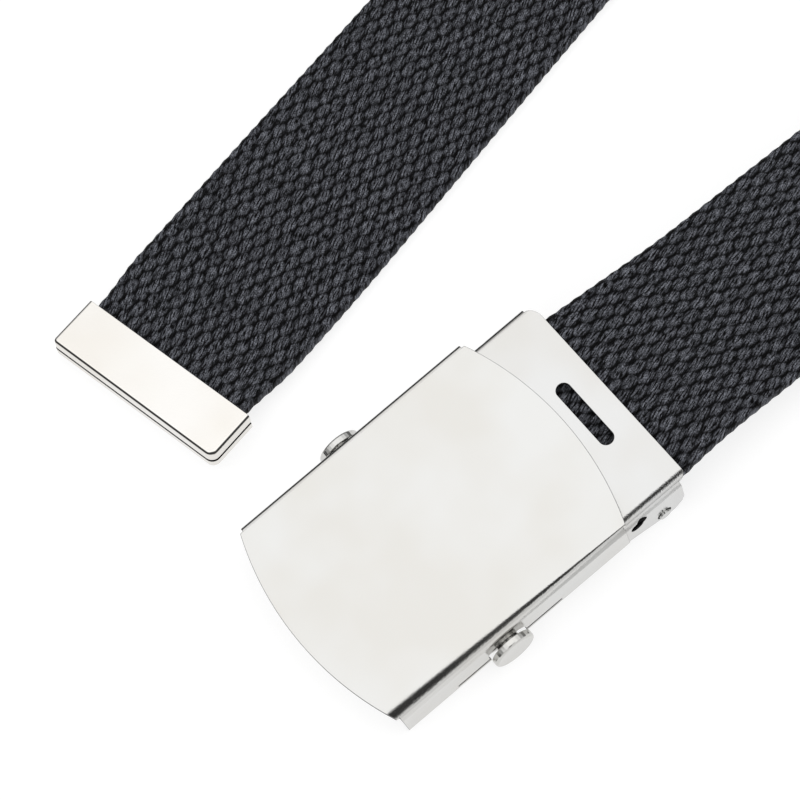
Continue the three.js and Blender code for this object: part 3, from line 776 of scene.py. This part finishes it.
def folded_tip():
    """The tip as two folds of sheet, closed on each other round the webbing's end."""
    points, faces = tip_shell(TIP_SEAM_LOW + TIP_SEAM, TIP_THICKNESS / 2, 0)
    under_points, under_faces = tip_shell(-TIP_SEAM_LOW, TIP_THICKNESS / 2, TIP_LOWER_PROUD)
    shift = len(points)
    points += [(x, y, -z) for x, y, z in under_points]
    faces += [tuple(shift + k for k in reversed(face)) for face in under_faces]
    place, turn = tip_axes()
    mesh = bpy.data.meshes.new("folded_tip")
    mesh.from_pydata([place + turn @ Vector(point) for point in points], [], faces)
    mesh.polygons.foreach_set("use_smooth", np.ones(len(faces), bool))
    tip = bpy.data.objects.new("folded_tip", mesh)
    bpy.context.scene.collection.objects.link(tip)
    mesh.materials.append(nickel("belt_tip", tip_dark_lines, tip_seam_painted_shade))
    add_bevel(tip, TIP_EDGE_WIDTH, TIP_EDGE_ANGLE, TIP_EDGE_SEGMENTS)
    tip.modifiers.new("flat_faces", "WEIGHTED_NORMAL")
    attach(tip, "belt")
    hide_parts("belt_tip")
    return tip


def add_bevel(piece, width, angle, segments):
    edges = piece.modifiers.new("edges", "BEVEL")
    edges.limit_method = "ANGLE"
    edges.angle_limit = angle
    edges.width = width
    edges.segments = segments
    edges.harden_normals = True
    return edges


def soften(node, width):
    """Small rounded edges on an imported metal piece, whose mesh stays as it is."""
    weld = node.modifiers.new("weld", "WELD")
    weld.merge_threshold = WELD_DISTANCE
    flat = node.modifiers.new("flat", "DECIMATE")
    flat.decimate_type = "DISSOLVE"
    flat.angle_limit = FLAT_ANGLE
    add_bevel(node, width, EDGE_ANGLE, EDGE_SEGMENTS).use_clamp_overlap = False


def finish_metal(frame):
    """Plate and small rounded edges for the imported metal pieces."""
    finishes = {
        "buckle_cover": nickel("buckle_cover", buckle_dark_lines, slit_painted_shade, [cover_right_bend]),
        "buckle_frame": nickel("buckle_frame", buckle_dark_lines, relief_hole_painted_shade, [frame_right_bend]),
        "grip_roller": nickel("grip_roller"),
        "strap_clamp": nickel("strap_clamp"),
    }
    for name, material in finishes.items():
        node = frame["nodes"][name]
        for slot in node.material_slots:
            slot.material = material
        soften(node, EDGE_WIDTHS[name])


# Stage


def pale_floor():
    mesh = bpy.data.meshes.new("floor")
    half = FLOOR_SIZE / 2
    corners = [(-half, -half, 0), (half, -half, 0), (half, half, 0), (-half, half, 0)]
    mesh.from_pydata(corners, [], [(0, 1, 2, 3)])
    floor = bpy.data.objects.new("floor", mesh)
    bpy.context.scene.collection.objects.link(floor)
    material, tree, shader = new_material("pale_floor")
    shader.inputs["Base Color"].default_value = FLOOR_COLOR
    shader.inputs["Roughness"].default_value = FLOOR_ROUGHNESS
    shader.inputs["Specular IOR Level"].default_value = 0
    shader.inputs["Emission Color"].default_value = (1, 1, 1, 1)
    shader.inputs["Emission Strength"].default_value = FLOOR_GLOW
    mesh.materials.append(material)


def aim(thing, place, direction, up):
    """Puts a camera or light at a place, looking along a direction."""
    back = -direction.normalized()
    right = up.cross(back).normalized()
    turned = Matrix((right, back.cross(right), back)).transposed().to_4x4()
    thing.matrix_world = Matrix.Translation(place) @ turned


def camera():
    data = bpy.data.cameras.new("camera")
    data.lens = CAMERA_LENS
    data.sensor_width = CAMERA_SENSOR
    data.clip_start = CAMERA_CLIP
    eye = bpy.data.objects.new("camera", data)
    bpy.context.scene.collection.objects.link(eye)
    aim(eye, CAMERA_AT, CAMERA_LOOKS, CAMERA_UP)
    bpy.context.scene.camera = eye


def key_light():
    data = bpy.data.lights.new("key", "AREA")
    data.energy = KEY_STRENGTH
    data.size = KEY_SIZE
    lamp = bpy.data.objects.new("key", data)
    lamp.visible_glossy = False  # the plate mirrors only the sky
    bpy.context.scene.collection.objects.link(lamp)
    aim(lamp, KEY_AT, BELT_ENDS - KEY_AT, Vector((0, 0, 1)))


def sky():
    """Light by direction: bright overhead, low light only on the buckle's right, dark round the camera.

    What is seen past the floor is plain white.
    """
    world = bpy.data.worlds.new("studio")
    world.use_nodes = True
    tree = world.node_tree
    background = tree.nodes["Background"]
    direction = tree.nodes.new("ShaderNodeTexCoord").outputs["Generated"]
    split = tree.nodes.new("ShaderNodeSeparateXYZ")
    tree.links.new(direction, split.inputs[0])
    core, rim = (math.cos(math.radians(angle)) for angle in CAMERA_PATCH)
    patch = remap(tree, dot(tree, direction, -CAMERA_LOOKS.normalized()), core, rim, PATCH_LIGHT, 1)
    right = Vector((-math.sin(HALF_ANGLE), -math.cos(HALF_ANGLE), 0))
    open_side = remap(tree, dot(tree, direction, right), *OPEN_SIDE)
    low = remap(tree, math_node(tree, "ABSOLUTE", split.outputs[2]), LOW_FROM, LOW_TO, SKY_LOW, 1)
    low = math_node(tree, "MAXIMUM", low, open_side)
    top = remap(tree, split.outputs[2], *TOP_RANGE, SKY_MIDDLE, SKY_TOP)
    light = times(tree, times(tree, patch, low), top)
    seen = tree.nodes.new("ShaderNodeLightPath").outputs["Is Camera Ray"]
    plain = math_node(tree, "MAXIMUM", light, seen)
    tree.links.new(combine(tree, plain, plain, plain), background.inputs["Color"])
    background.inputs["Strength"].default_value = SKY_STRENGTH
    bpy.context.scene.world = world


def main():
    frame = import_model()
    camera()
    webbing()
    folded_tip()
    finish_metal(frame)
    pale_floor()
    key_light()
    sky()
    bpy.context.scene.view_settings.view_transform = "Standard"


main()
